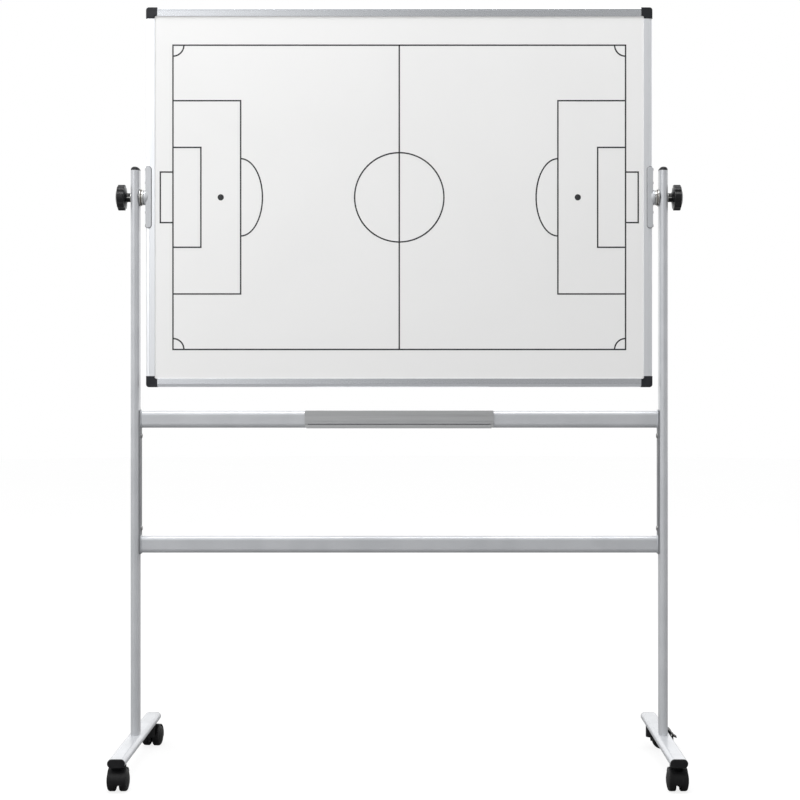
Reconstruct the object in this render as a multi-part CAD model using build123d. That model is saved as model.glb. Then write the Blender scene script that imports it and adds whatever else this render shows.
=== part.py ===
from build123d import *
import os
from math import cos, radians, sin

# A rolling stand that carries a double-sided whiteboard, which revolves about a level axis
# between two posts and is clamped by a knob at each side.
# Millimetres. +X is the right-hand side seen from the front, -Y is the front, +Z is up.
# The origin is on the floor, straight below the centre of the board.

# ---- board ----
BOARD_WIDTH = 1200.0
BOARD_HEIGHT = 900.0
BOARD_THICKNESS = 22.0
PIVOT_HEIGHT = 1353.0
RAIL_FACE = 20.0
RAIL_WALL = 1.5
RAIL_SLOPE = (8.0, 2.2)
RAIL_EDGE_RADIUS = 2.6
CHAMBER_DEPTH = 6.0
CHAMBER_RADIUS = 1.0
GROOVE_FROM_EDGE = 8.0
GROOVE_WIDTH = 1.6
GROOVE_DEPTH = 1.0
PANEL_INSET = 9.0
PANEL_THICKNESS = 18.0
SHEET_THICKNESS = 0.5
CORNER_REACH = 26.0
CORNER_WIDTH = 19.5
CORNER_NOTCH = 2.5
CORNER_PROUD = 0.6
CORNER_RADIUS = 7.0
CORNER_EDGE_RADIUS = 1.0
SPIGOT_LENGTH = 18.0
SPIGOT_CLEARANCE = 0.4

# ---- football pitch printed on the front sheet ----
LINE_WIDTH = 3.4
LINE_THICKNESS = 0.15
PITCH_LENGTH = 1074.0
PITCH_WIDTH = 722.0
CENTRE_CIRCLE_RADIUS = 106.0
CORNER_ARC_RADIUS = 26.0
PENALTY_AREA = (160.6, 458.6)
GOAL_AREA = (66.2, 237.0)
GOAL_BOX = (30.0, 120.0)
SPOT_DISTANCE = 113.4
SPOT_RADIUS = 7.4
PENALTY_ARC = (51.8, 91.7)

# ---- stand ----
POST_CENTRE = 627.0
TUBE_LONG = 40.0
TUBE_SHORT = 20.0
TUBE_WALL = 1.5
POST_TOP = 1417.0
POST_CAP_RISE = 8.5
PLUG_CLEARANCE = 0.2
PLUG_LENGTH = 18.0
FOOT_BOTTOM = 57.0
FOOT_LENGTH = 520.0
FOOT_CAP_THICKNESS = 4.0
FOOT_CAP_EDGE = 2.0
UPPER_BAR_HEIGHT = 826.0
LOWER_BAR_HEIGHT = 529.0
PLATE_THICKNESS = 3.0
PLATE_DEPTH = 26.0
PLATE_BEYOND_BARS = 2.8
PLATE_CORNER = 4.0
PLATE_SCREW_HEIGHTS = (787.0, 567.0)
PLATE_SCREW_RADIUS = 3.0
PLATE_SCREW_HEAD = (6.0, 3.2)
NUT_RADIUS = 4.5
NUT_COLLAR_RADIUS = 6.2
NUT_LENGTH = 12.0
FOOT_BOLT_RADIUS = 4.0
FOOT_BOLT_HEAD = (6.5, 4.5)
FOOT_BOLT_OFFSET = 11.0
BASE_INSERT_HEIGHT = 22.0

# ---- pen tray ----
TRAY_LENGTH = 448.0
TRAY_DEPTH = 47.0
TRAY_BOTTOM = 806.5
TRAY_TOP = 847.0
TRAY_WALL = 1.8
TRAY_LIP_HEIGHT = 7.5
TRAY_END_STEP = 7.0
TRAY_CORNER_RADII = (6.5, 2.5)
TRAY_HOOK = 2.0
TRAY_LIP_CORNER = 1.5
TRAY_GROOVE_HEIGHTS = (820.5, 834.0)
TRAY_GROOVE = (1.4, 0.7)
TRAY_SHADOW_GROOVE = (813.4, 2.4, 1.2)
TRAY_SCREW_OFFSET = 180.0
TRAY_SCREW_RADIUS = 2.0
TRAY_SCREW_HEAD = (4.0, 2.0)

# ---- pivots and clamp knobs ----
STUD_RADIUS = 5.0
RUNNING_CLEARANCE = 0.05
SHANK_CLEARANCE = 0.05
SEATED_CLEARANCE = 0.02
WASHER_HOLE_RADIUS = 5.3
STUD_END = 664.0
BRACKET_LENGTH = 145.0
BRACKET_FLANGE = 13.6
BRACKET_WEB = 2.0
BRACKET_SKIN = 1.5
BRACKET_END_RADIUS = 6.5
BRACKET_EDGE_RADIUS = 0.6
BRACKET_SCREW_OFFSETS = (-66.5, -35.0, 35.0, 66.5)
BRACKET_SCREW_RADIUS = 2.0
BRACKET_SCREW_HEAD = (4.0, 2.3)
BRACKET_SCREW_END = 592.6
BOSS_RADIUS = 18.0
BOSS_END = 607.0
BOSS_NECK = (14.5, 1.4)
BOSS_WRAP = 5.0
BOSS_WRAP_RADIUS = 13.5
WASHER_END = 612.0
FRICTION_RADIUS = 19.0
SEAT_START = 614.0
SEAT_RADIUS = 21.0
WASHER_EDGE_RADIUS = 0.8
SADDLE_START = 616.4
SADDLE_RADIUS = 19.0
SADDLE_WRAP = 3.5
SADDLE_WRAP_RADIUS = 15.5
SLEEVE_RADIUS = 7.0
KNOB_RADIUS = 30.5
KNOB_NECK_RADIUS = 10.5
KNOB_WASHER = 1.5
KNOB_NECK_END = 10.0
KNOB_RIM = (14.2, 31.4)
KNOB_END = 35.0
KNOB_FLAT_RADIUS = 16.0
KNOB_LOBES = 8
KNOB_SCALLOP_RADIUS = 10.0
KNOB_SCALLOP_DEPTH = 2.2
KNOB_LOBE_ROUND = 3.0
KNOB_RIM_ROUND = 2.2
KNOB_FACE_RADIUS = 25.5
KNOB_RIBS = 6
KNOB_RIB_GAP = 4.0
INSERT_RADIUS = 8.0
INSERT_SPAN = (2.0, 26.0)
POCKET_END = 29.5

# ---- casters ----
STEM_OFFSET = 205.0
WHEEL_RADIUS = 25.0
TRAIL = 25.0
WHEEL_INNER = 5.0
WHEEL_OUTER = 25.4
WHEEL_EDGE_RADIUS = 0.8
WHEEL_RINGS = (8.0, 16.5)
WHEEL_RING_WIDTH = 1.2
WHEEL_RING_DEPTH = 0.7
AXLE_RADIUS = 3.0
AXLE_HALF_LENGTH = 21.0
STEM_RADIUS = 5.0
STEM_SPAN = (38.0, 74.0)
SOCKET_RADIUS = 7.0
SOCKET_TOP = 75.0
SOCKET_FLANGE = (9.5, 1.4)
HOOD_RADII = (26.4, 28.6)
HOOD_HALF_WIDTH = 21.0
HOOD_EDGE_RADIUS = 1.6
HOOD_ANGLES = (-14.0, 30.0, 75.0, 120.0, 150.0)
WEB_HALF_WIDTH = 3.5
WEB_LOW = 16.5
HUB_RADIUS = 8.0
BOSS_TOP = 55.0
BOSS_LOW = 27.0
CASTER_BOSS_RADIUS = 14.0
CASTER_BOSS_EDGE = 2.0
PEDAL_PIVOT_RADIUS = 27.6
PEDAL_PIVOT_ANGLE = 16.0
PEDAL_HALF_WIDTH = 9.2
PEDAL_GAP = 0.4
PEDAL_BARREL_RADIUS = 2.1
PEDAL_PIN_RADIUS = 1.1
EAR_RADIUS = 3.4
EAR_WIDTH = 2.6

# Each caster: which end and side it stands at, the heading of its trail in degrees from +X,
# and whether it has a brake pedal.
CASTERS = {
    "front_left": (-1, -1, -90.0, False),
    "front_right": (1, -1, -90.0, False),
    "rear_left": (-1, 1, 82.0, True),
    "rear_right": (1, 1, -5.0, True),
}

# ---- values that follow from the ones above ----
CHAMBER_HALF_WIDTH = BOARD_THICKNESS / 2 - RAIL_WALL - RAIL_SLOPE[1]
FOOT_TOP = FOOT_BOTTOM + TUBE_SHORT
POST_INNER = POST_CENTRE - TUBE_SHORT / 2
POST_OUTER = POST_CENTRE + TUBE_SHORT / 2
PLATE_INNER = POST_INNER - PLATE_THICKNESS
PLATE_TOP = UPPER_BAR_HEIGHT + TUBE_LONG / 2 + PLATE_BEYOND_BARS
PLATE_BOTTOM = LOWER_BAR_HEIGHT - TUBE_LONG / 2 - PLATE_BEYOND_BARS
BOARD_EDGE = BOARD_WIDTH / 2
FLANGE_FACE = BOARD_THICKNESS / 2 + BRACKET_SKIN
PEDAL_PIVOT = (
    TRAIL + PEDAL_PIVOT_RADIUS * cos(radians(PEDAL_PIVOT_ANGLE)),
    WHEEL_RADIUS + PEDAL_PIVOT_RADIUS * sin(radians(PEDAL_PIVOT_ANGLE)),
)


# ---- shared shapes ----
def x_rod(radius, start, end, y=0.0, z=0.0):
    """A cylinder along X."""
    return Pos((start + end) / 2, y, z) * Rot(0, 90, 0) * Cylinder(radius, end - start)


def y_rod(radius, start, end, x=0.0, z=0.0):
    """A cylinder along Y."""
    return Pos(x, (start + end) / 2, z) * Rot(90, 0, 0) * Cylinder(radius, end - start)


def z_rod(radius, start, end, x=0.0, y=0.0):
    """A cylinder along Z."""
    return Pos(x, y, (start + end) / 2) * Cylinder(radius, end - start)


def block(x, y, z):
    """A box from its three (low, high) pairs."""
    centre = Pos(sum(x) / 2, sum(y) / 2, sum(z) / 2)
    return centre * Box(x[1] - x[0], y[1] - y[0], z[1] - z[0])


def both_sides(part):
    """A right-hand piece and its mirror image on the left, as one group of solids."""
    return Compound([*part.solids(), *mirror(part, about=Plane.YZ).solids()])


def one_side(part, side):
    """A right-hand piece, mirrored if it belongs on the left."""
    return mirror(part, about=Plane.YZ) if side == "left" else part


def oval(inset=0.0):
    """The flat-oval outline that every tube of the stand shares, long side along its own X."""
    return SlotOverall(TUBE_LONG - 2 * inset, TUBE_SHORT - 2 * inset)


def domed_head(radius, rise):
    """A cross-recessed screw head standing on its own XY plane."""
    head = Pos(0, 0, rise / 2) * Cylinder(radius, rise)
    head = fillet(head.edges().sort_by(Axis.Z)[-1], rise * 0.8)
    for turn in (0, 90):
        head -= Rot(0, 0, turn) * Pos(0, 0, rise) * Box(1.1 * radius, 0.24 * radius, rise)
    return head


def along_x(part, x, z=PIVOT_HEIGHT, y=0.0):
    """Turns a piece built up its own Z axis to point along +X."""
    return Pos(x, y, z) * Rot(0, 90, 0) * part


# ---- board ----
def rail_section():
    """The edge extrusion: outer edge at local y = 0, the panel's slot opening towards -y."""
    half = BOARD_THICKNESS / 2
    slope_start, slope_drop = RAIL_SLOPE
    outline = [(half, -RAIL_FACE), (half, -slope_start), (half - slope_drop, 0)]
    outline += [(-x, y) for x, y in reversed(outline)]
    body = make_face(Polyline(*outline, close=True))
    body = fillet(body.vertices().group_by(Axis.Y)[-1], RAIL_EDGE_RADIUS)
    chamber = RectangleRounded(2 * CHAMBER_HALF_WIDTH, CHAMBER_DEPTH, CHAMBER_RADIUS)
    body -= Pos(0, -RAIL_WALL - CHAMBER_DEPTH / 2) * chamber
    slot = Rectangle(PANEL_THICKNESS, RAIL_FACE - PANEL_INSET)
    body -= Pos(0, -(PANEL_INSET + RAIL_FACE) / 2) * slot
    for face in (-1, 1):
        groove = Rectangle(2 * GROOVE_DEPTH, GROOVE_WIDTH)
        body -= Pos(face * BOARD_THICKNESS / 2, -GROOVE_FROM_EDGE) * groove
    return body


def rail(length, turn, distance):
    """A rail along one side of the board: turn is about Y, distance is from the pivot axis."""
    bar = extrude(Plane.YZ * rail_section(), length / 2, both=True)
    return Pos(0, 0, PIVOT_HEIGHT) * Rot(0, turn, 0) * Pos(0, 0, distance) * bar


def stile(side):
    """An upright edge of the board, drilled on its outer wall for the bracket's screws."""
    part = rail(BOARD_HEIGHT - 2 * CORNER_REACH, 90, BOARD_EDGE)
    for offset in BRACKET_SCREW_OFFSETS:
        hole = x_rod(BRACKET_SCREW_RADIUS + SHANK_CLEARANCE, BOARD_EDGE - 3, BOARD_EDGE + 1)
        part -= Pos(0, 0, PIVOT_HEIGHT + offset) * hole
    return one_side(part, side)


def corner_cap():
    """The moulded cap of the top right corner, with two spigots that plug into the rails."""
    reach, width, proud = CORNER_REACH, CORNER_WIDTH, CORNER_PROUD
    outline = Polyline(
        (proud, proud),
        (-reach, proud),
        (-reach, -width),
        (-width - CORNER_NOTCH, -width),
        (-width, -width - CORNER_NOTCH),
        (-width, -reach),
        (proud, -reach),
        close=True,
    )
    shape = make_face(Plane.XZ * outline)
    cap = extrude(shape, BOARD_THICKNESS / 2 + proud, both=True)
    outer = cap.edges().filter_by(Axis.Y).sort_by(lambda edge: edge.center().X + edge.center().Z)[-1]
    cap = fillet(outer, CORNER_RADIUS)
    faces = cap.faces().filter_by(Axis.Y)
    cap = fillet([edge for face in faces for edge in face.edges()], CORNER_EDGE_RADIUS)
    half = PANEL_THICKNESS / 2
    cap -= block((-60, -PANEL_INSET), (-half, half), (-60, -PANEL_INSET))
    span = (-RAIL_WALL - CHAMBER_DEPTH + SPIGOT_CLEARANCE, -RAIL_WALL - SPIGOT_CLEARANCE)
    half = CHAMBER_HALF_WIDTH - SPIGOT_CLEARANCE
    cap += block((-reach - SPIGOT_LENGTH, -width), (-half, half), span)
    cap += block(span, (-half, half), (-reach - SPIGOT_LENGTH, -width))
    return Pos(BOARD_EDGE, 0, BOARD_HEIGHT / 2) * cap


def corner_caps():
    """All four corner caps."""
    top = both_sides(corner_cap())
    bottom = mirror(top, about=Plane.XY)
    return Pos(0, 0, PIVOT_HEIGHT) * Compound([*top.solids(), *bottom.solids()])


def panel_layer(low, high):
    """One layer of the panel, between two depths along Y."""
    half_width = BOARD_EDGE - PANEL_INSET
    half_height = BOARD_HEIGHT / 2 - PANEL_INSET
    heights = (PIVOT_HEIGHT - half_height, PIVOT_HEIGHT + half_height)
    return block((-half_width, half_width), (low, high), heights)


def line_box(width, height):
    """A rectangle drawn with the pitch's line width."""
    return Rectangle(width + LINE_WIDTH, height + LINE_WIDTH) - Rectangle(
        width - LINE_WIDTH, height - LINE_WIDTH
    )


def line_ring(x_radius, y_radius):
    """A circle or ellipse drawn with the pitch's line width."""
    half = LINE_WIDTH / 2
    if x_radius == y_radius:
        return Circle(x_radius + half) - Circle(x_radius - half)
    return Ellipse(x_radius + half, y_radius + half) - Ellipse(x_radius - half, y_radius - half)


def pitch_half(side):
    """The areas, spot, arcs and goal box at one end of the pitch."""
    goal_line = side * PITCH_LENGTH / 2
    lines = Sketch()
    for depth, height in (PENALTY_AREA, GOAL_AREA, (-GOAL_BOX[0], GOAL_BOX[1])):
        lines += Pos(goal_line - side * depth / 2, 0) * line_box(abs(depth), height)
    lines += Pos(goal_line - side * SPOT_DISTANCE, 0) * Circle(SPOT_RADIUS)
    area_edge = goal_line - side * PENALTY_AREA[0]
    bulge = PENALTY_ARC[0] + LINE_WIDTH
    beyond = Pos(area_edge - side * bulge / 2, 0) * Rectangle(bulge, 3 * PENALTY_ARC[1])
    lines += (Pos(area_edge, 0) * line_ring(*PENALTY_ARC)) & beyond
    for end in (-1, 1):
        corner = Pos(goal_line, end * PITCH_WIDTH / 2)
        arc = corner * line_ring(CORNER_ARC_RADIUS, CORNER_ARC_RADIUS)
        lines += arc & Rectangle(PITCH_LENGTH, PITCH_WIDTH)
    return lines


def pitch_markings():
    """The printed lines, a thin layer on the front sheet."""
    lines = line_box(PITCH_LENGTH, PITCH_WIDTH) + Rectangle(LINE_WIDTH, PITCH_WIDTH)
    lines += line_ring(CENTRE_CIRCLE_RADIUS, CENTRE_CIRCLE_RADIUS)
    for side in (-1, 1):
        lines += pitch_half(side)
    surface = Plane.XZ.offset(PANEL_THICKNESS / 2)
    return Pos(0, 0, PIVOT_HEIGHT) * extrude(surface * lines, LINE_THICKNESS)


# ---- pivots ----
def bracket():
    """The pressed channel that wraps the right stile and carries the pivot boss."""
    outline = RectangleRounded(BRACKET_FLANGE, BRACKET_LENGTH, BRACKET_END_RADIUS)
    outer = BOARD_EDGE + BRACKET_WEB
    outline = Pos(outer - BRACKET_FLANGE / 2, PIVOT_HEIGHT) * outline
    part = extrude(Plane.XZ * outline, FLANGE_FACE, both=True)
    rims = [edge for face in part.faces().filter_by(Axis.Y) for edge in face.edges()]
    part = fillet(rims, BRACKET_EDGE_RADIUS)
    half = BOARD_THICKNESS / 2
    part -= block((0, BOARD_EDGE), (-half, half), (0, 2 * PIVOT_HEIGHT))
    for offset in BRACKET_SCREW_OFFSETS:
        z = PIVOT_HEIGHT + offset
        part -= x_rod(BRACKET_SCREW_RADIUS + SHANK_CLEARANCE, BOARD_EDGE - 1, outer + 1, z=z)
    return part


def bracket_screws():
    """The four screws of the right bracket."""
    face = BOARD_EDGE + BRACKET_WEB
    screws = []
    for offset in BRACKET_SCREW_OFFSETS:
        z = PIVOT_HEIGHT + offset
        shank = x_rod(BRACKET_SCREW_RADIUS, BRACKET_SCREW_END, face, z=z)
        screws.append(shank + along_x(domed_head(*BRACKET_SCREW_HEAD), face, z))
    return Compound([solid for screw in screws for solid in screw.solids()])


def pivot_boss():
    """The turned boss welded on the bracket: its back edge wraps the bracket's flanges."""
    face = BOARD_EDGE + BRACKET_WEB
    wrap = Pos(0, 0, -BOSS_WRAP / 2) * Cone(BOSS_WRAP_RADIUS, BOSS_RADIUS, BOSS_WRAP)
    neck_radius, neck_length = BOSS_NECK
    part = along_x(wrap, face) + x_rod(BOSS_RADIUS, face, BOSS_END - neck_length, z=PIVOT_HEIGHT)
    part += x_rod(neck_radius, face, BOSS_END, z=PIVOT_HEIGHT)
    part -= block((0, face), (-FLANGE_FACE, FLANGE_FACE), (0, 2 * PIVOT_HEIGHT))
    return part - x_rod(STUD_RADIUS + SEATED_CLEARANCE, face, BOSS_END + 1, z=PIVOT_HEIGHT)


def ring_x(outer_radius, hole_radius, start, end):
    """A plain washer or sleeve on the pivot axis."""
    return x_rod(outer_radius, start, end, z=PIVOT_HEIGHT) - x_rod(
        hole_radius, start - 1, end + 1, z=PIVOT_HEIGHT
    )


def rounded_ring_x(outer_radius, hole_radius, start, end):
    """A washer on the pivot axis whose outer edges are rounded."""
    disc = x_rod(outer_radius, start, end, z=PIVOT_HEIGHT)
    disc = fillet(disc.edges().filter_by(GeomType.CIRCLE), WASHER_EDGE_RADIUS)
    return disc - x_rod(hole_radius, start - 1, end + 1, z=PIVOT_HEIGHT)


def saddle():
    """The moulded seat between the pivot and the right post, hollowed to the post's round."""
    wrap = Pos(0, 0, SADDLE_WRAP / 2) * Cone(SADDLE_RADIUS, SADDLE_WRAP_RADIUS, SADDLE_WRAP)
    part = along_x(wrap, POST_INNER) + x_rod(SADDLE_RADIUS, SADDLE_START, POST_INNER, z=PIVOT_HEIGHT)
    hollow = Rot(0, 0, 90) * oval(-0.1)
    part -= Pos(POST_CENTRE, 0, PIVOT_HEIGHT - 100) * extrude(hollow, 200)
    return part - x_rod(SLEEVE_RADIUS + SHANK_CLEARANCE, 600, 700, z=PIVOT_HEIGHT)


def knob():
    """A lobed hand knob, built up its own Z axis from the post's outer face."""
    outline = Circle(KNOB_RADIUS)
    for index in range(KNOB_LOBES):
        scallop = Pos(KNOB_RADIUS + KNOB_SCALLOP_RADIUS - KNOB_SCALLOP_DEPTH, 0)
        outline -= Rot(0, 0, 360 * (index + 0.5) / KNOB_LOBES) * scallop * Circle(KNOB_SCALLOP_RADIUS)
    outline = fillet(outline.vertices(), KNOB_LOBE_ROUND)
    low, high = KNOB_RIM
    part = Pos(0, 0, low) * extrude(outline, high - low)
    rims = [edge for face in part.faces().filter_by(Axis.Z) for edge in face.edges()]
    part = fillet(rims, KNOB_RIM_ROUND)
    profile = Polyline(
        (0, KNOB_WASHER),
        (KNOB_NECK_RADIUS, KNOB_WASHER),
        (KNOB_NECK_RADIUS, KNOB_NECK_END),
        (KNOB_FACE_RADIUS, low),
        (KNOB_FACE_RADIUS, high),
        (KNOB_FLAT_RADIUS, KNOB_END),
        (0, KNOB_END),
        close=True,
    )
    part += revolve(make_face(Plane.XZ * profile), Axis.Z)
    part -= z_rod(INSERT_RADIUS + SEATED_CLEARANCE, 0, POCKET_END)
    for index in range(KNOB_RIBS):
        gap = block((4, 20), (-KNOB_RIB_GAP / 2, KNOB_RIB_GAP / 2), (0, KNOB_NECK_END))
        part -= Rot(0, 0, 90 + 360 * index / KNOB_RIBS) * gap
    return along_x(part, POST_OUTER)


def knob_insert():
    """The threaded steel bush pressed into a knob."""
    part = z_rod(INSERT_RADIUS, *INSERT_SPAN) - z_rod(STUD_RADIUS + RUNNING_CLEARANCE, 0, 40)
    return along_x(part, POST_OUTER)


# ---- stand ----
def post():
    """The right post, drilled for the sleeve and for the side plate's rivet nuts."""
    height = POST_TOP - FOOT_TOP
    part = extrude(Rot(0, 0, 90) * (oval() - oval(TUBE_WALL)), height)
    part = Pos(POST_CENTRE, 0, FOOT_TOP) * part
    part -= x_rod(SLEEVE_RADIUS + SHANK_CLEARANCE, POST_INNER - 1, POST_OUTER + 1, z=PIVOT_HEIGHT)
    for z in PLATE_SCREW_HEIGHTS:
        part -= x_rod(NUT_RADIUS + SHANK_CLEARANCE, POST_INNER - 1, POST_INNER + 3, z=z)
    return part


def post_cap():
    """The domed plug in the top of the right post."""
    dome = fillet(extrude(oval(0.1), POST_CAP_RISE).edges().group_by(Axis.Z)[-1], POST_CAP_RISE - 0.8)
    plug = Pos(0, 0, -PLUG_LENGTH) * extrude(oval(TUBE_WALL + PLUG_CLEARANCE), PLUG_LENGTH)
    return Pos(POST_CENTRE, 0, POST_TOP) * Rot(0, 0, 90) * (dome + plug)


def base_insert():
    """The threaded block welded in the foot of the right post."""
    part = Rot(0, 0, 90) * extrude(oval(TUBE_WALL + SHANK_CLEARANCE), BASE_INSERT_HEIGHT)
    for y in (-FOOT_BOLT_OFFSET, FOOT_BOLT_OFFSET):
        part -= z_rod(FOOT_BOLT_RADIUS + SHANK_CLEARANCE, -1, BASE_INSERT_HEIGHT + 1, y=y)
    return Pos(POST_CENTRE, 0, FOOT_TOP) * part


def foot_bolts():
    """The bolts that draw the right post down on its foot, heads under the foot."""
    bolts = []
    for y in (-FOOT_BOLT_OFFSET, FOOT_BOLT_OFFSET):
        head = extrude(RegularPolygon(FOOT_BOLT_HEAD[0], 6), -FOOT_BOLT_HEAD[1])
        shank = z_rod(FOOT_BOLT_RADIUS, 0, TUBE_SHORT + BASE_INSERT_HEIGHT - 2)
        bolts += (Pos(POST_CENTRE, y, FOOT_BOTTOM) * (head + shank)).solids()
    return Compound(bolts)


def foot():
    """The right foot, drilled below for two caster sockets and through for the post's bolts."""
    length = FOOT_LENGTH - 2 * FOOT_CAP_THICKNESS
    part = extrude(Plane.XZ * (oval() - oval(TUBE_WALL)), length / 2, both=True)
    part = Pos(POST_CENTRE, 0, FOOT_BOTTOM + TUBE_SHORT / 2) * part
    for y in (-STEM_OFFSET, STEM_OFFSET):
        part -= z_rod(SOCKET_RADIUS + SHANK_CLEARANCE, FOOT_BOTTOM - 1, FOOT_BOTTOM + 4, POST_CENTRE, y)
    for y in (-FOOT_BOLT_OFFSET, FOOT_BOLT_OFFSET):
        part -= z_rod(FOOT_BOLT_RADIUS + 0.3, FOOT_BOTTOM - 1, FOOT_TOP + 1, POST_CENTRE, y)
    return part


def foot_cap(end):
    """The plug in the front (-1) or rear (1) end of the right foot."""
    cap = extrude(oval(0.05), FOOT_CAP_THICKNESS)
    cap = fillet(cap.edges().group_by(Axis.Z)[-1], FOOT_CAP_EDGE)
    cap += Pos(0, 0, -PLUG_LENGTH) * extrude(oval(TUBE_WALL + PLUG_CLEARANCE), PLUG_LENGTH)
    face = FOOT_LENGTH / 2 - FOOT_CAP_THICKNESS
    return Pos(POST_CENTRE, end * face, FOOT_BOTTOM + TUBE_SHORT / 2) * Rot(-90 * end, 0, 0) * cap


def crossbar(height):
    """A level tube between the side plates."""
    section = Rot(0, 0, 90) * (oval() - oval(TUBE_WALL))
    return Pos(0, 0, height) * extrude(Plane.YZ * section, PLATE_INNER, both=True)


def upper_crossbar():
    """The bar behind the pen tray, drilled through for the tray's screws."""
    part = crossbar(UPPER_BAR_HEIGHT)
    for x in (-TRAY_SCREW_OFFSET, TRAY_SCREW_OFFSET):
        part -= y_rod(TRAY_SCREW_RADIUS + 0.1, -TUBE_SHORT, TUBE_SHORT, x, UPPER_BAR_HEIGHT)
    return part


def side_plate():
    """The strip on the right post's inner face that joins the two bars' ends."""
    depths = (-PLATE_DEPTH / 2, PLATE_DEPTH / 2)
    part = block((PLATE_INNER, POST_INNER), depths, (PLATE_BOTTOM, PLATE_TOP))
    part = fillet(part.edges().filter_by(Axis.X), PLATE_CORNER)
    for z in PLATE_SCREW_HEIGHTS:
        part -= x_rod(PLATE_SCREW_RADIUS + 0.2, PLATE_INNER - 1, POST_INNER + 1, z=z)
    return part


def plate_screws():
    """The two screws of the right side plate, heads towards the middle of the stand."""
    screws = []
    for z in PLATE_SCREW_HEIGHTS:
        shank = x_rod(PLATE_SCREW_RADIUS, PLATE_INNER, POST_INNER + NUT_LENGTH + 1, z=z)
        head = Pos(PLATE_INNER, 0, z) * Rot(0, -90, 0) * domed_head(*PLATE_SCREW_HEAD)
        screws += (shank + head).solids()
    return Compound(screws)


def rivet_nuts():
    """The two threaded rivets in the right post."""
    nuts = []
    for z in PLATE_SCREW_HEIGHTS:
        behind = POST_INNER + TUBE_WALL + SHANK_CLEARANCE
        body = x_rod(NUT_RADIUS, POST_INNER, POST_INNER + NUT_LENGTH, z=z)
        body += x_rod(NUT_COLLAR_RADIUS, behind, behind + 2.5, z=z)
        nuts += (body - x_rod(PLATE_SCREW_RADIUS + SHANK_CLEARANCE, 600, 700, z=z)).solids()
    return Compound(nuts)


def pen_tray():
    """An extruded trough whose back plate hooks over the upper bar's front face."""
    back = -TUBE_SHORT / 2
    front = back - TRAY_DEPTH
    inner_back = back - TRAY_HOOK
    floor = TRAY_BOTTOM + TRAY_WALL
    lip = TRAY_BOTTOM + TRAY_LIP_HEIGHT
    profile = Polyline(
        (back, TRAY_BOTTOM),
        (front, TRAY_BOTTOM),
        (front, lip),
        (front + TRAY_WALL, lip),
        (front + TRAY_WALL, floor),
        (inner_back, floor),
        (inner_back, TRAY_TOP),
        (back + TRAY_HOOK, TRAY_TOP),
        (back + TRAY_HOOK, TRAY_TOP - TRAY_WALL),
        (back, TRAY_TOP - TRAY_WALL),
        close=True,
    )
    part = extrude(make_face(Plane.YZ * profile), TRAY_LENGTH / 2, both=True)
    height = TRAY_TOP - TRAY_BOTTOM
    outline = Pos(0, TRAY_BOTTOM + height / 2) * Rectangle(TRAY_LENGTH, height)
    for end, radius in zip((0, -1), TRAY_CORNER_RADII):
        outline = fillet(outline.vertices().group_by(Axis.Y)[end], radius)
    part &= extrude(Plane.XZ * outline, 2 * TRAY_DEPTH, both=True)
    trough_end = TRAY_LENGTH / 2 - TRAY_END_STEP
    for side in (-1, 1):
        ends = sorted((side * trough_end, side * TRAY_LENGTH))
        part -= block(ends, (front - 1, inner_back), (TRAY_BOTTOM - 1, TRAY_TOP + 1))
        hole = y_rod(TRAY_SCREW_RADIUS + SHANK_CLEARANCE, back - TRAY_HOOK + 0.4, back + 1)
        part -= Pos(side * TRAY_SCREW_OFFSET, 0, UPPER_BAR_HEIGHT) * hole
    for z, width, depth in (*((z, *TRAY_GROOVE) for z in TRAY_GROOVE_HEIGHTS), TRAY_SHADOW_GROOVE):
        part -= block((-TRAY_LENGTH, TRAY_LENGTH), (inner_back - 1, inner_back + depth), (z, z + width))
    uprights = part.edges().filter_by(Axis.Z)
    corners = [e for e in uprights if abs(e.center().Y - front) < 0.1]
    return fillet(corners, TRAY_LIP_CORNER)


def tray_screws():
    """The screws that hold the tray from behind, through the upper bar."""
    rear = TUBE_SHORT / 2
    screws = []
    for x in (-TRAY_SCREW_OFFSET, TRAY_SCREW_OFFSET):
        shank = y_rod(TRAY_SCREW_RADIUS, -rear - TRAY_HOOK + 0.5, rear, x, UPPER_BAR_HEIGHT)
        head = Pos(x, rear, UPPER_BAR_HEIGHT) * Rot(-90, 0, 0) * domed_head(*TRAY_SCREW_HEAD)
        screws += (shank + head).solids()
    return Compound(screws)


# ---- casters, in a frame with the stem's axis at x = y = 0, the trail along +X, floor at z = 0 ----
def wheel_zone(radius, low, high):
    """A cylinder on the wheels' axis."""
    return y_rod(radius, low, high, TRAIL, WHEEL_RADIUS)


def hood_arc():
    """The curved cover over both wheels' treads."""
    inner, outer = HOOD_RADII
    far = 2 * outer
    fan = [(far * cos(radians(a)), far * sin(radians(a))) for a in HOOD_ANGLES]
    sector = (Circle(outer) - Circle(inner)) & make_face(Polyline((0, 0), *fan, close=True))
    part = extrude(Plane.XZ * sector, HOOD_HALF_WIDTH, both=True)
    rims = part.edges().filter_by(GeomType.CIRCLE).filter_by(lambda e: e.radius > outer - 0.1)
    return Pos(TRAIL, 0, WHEEL_RADIUS) * fillet(rims, HOOD_EDGE_RADIUS)


def hood_web():
    """The wall between the wheels, from the hub up to the cover."""
    disc = Pos(TRAIL, WHEEL_RADIUS) * Circle(HOOD_RADII[1] - 0.3)
    disc &= Pos(TRAIL, WEB_LOW + 50) * Rectangle(100, 100)
    hub = Pos(TRAIL, WHEEL_RADIUS) * Circle(HUB_RADIUS)
    return extrude(Plane.XZ * (disc + hub), WEB_HALF_WIDTH, both=True)


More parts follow.
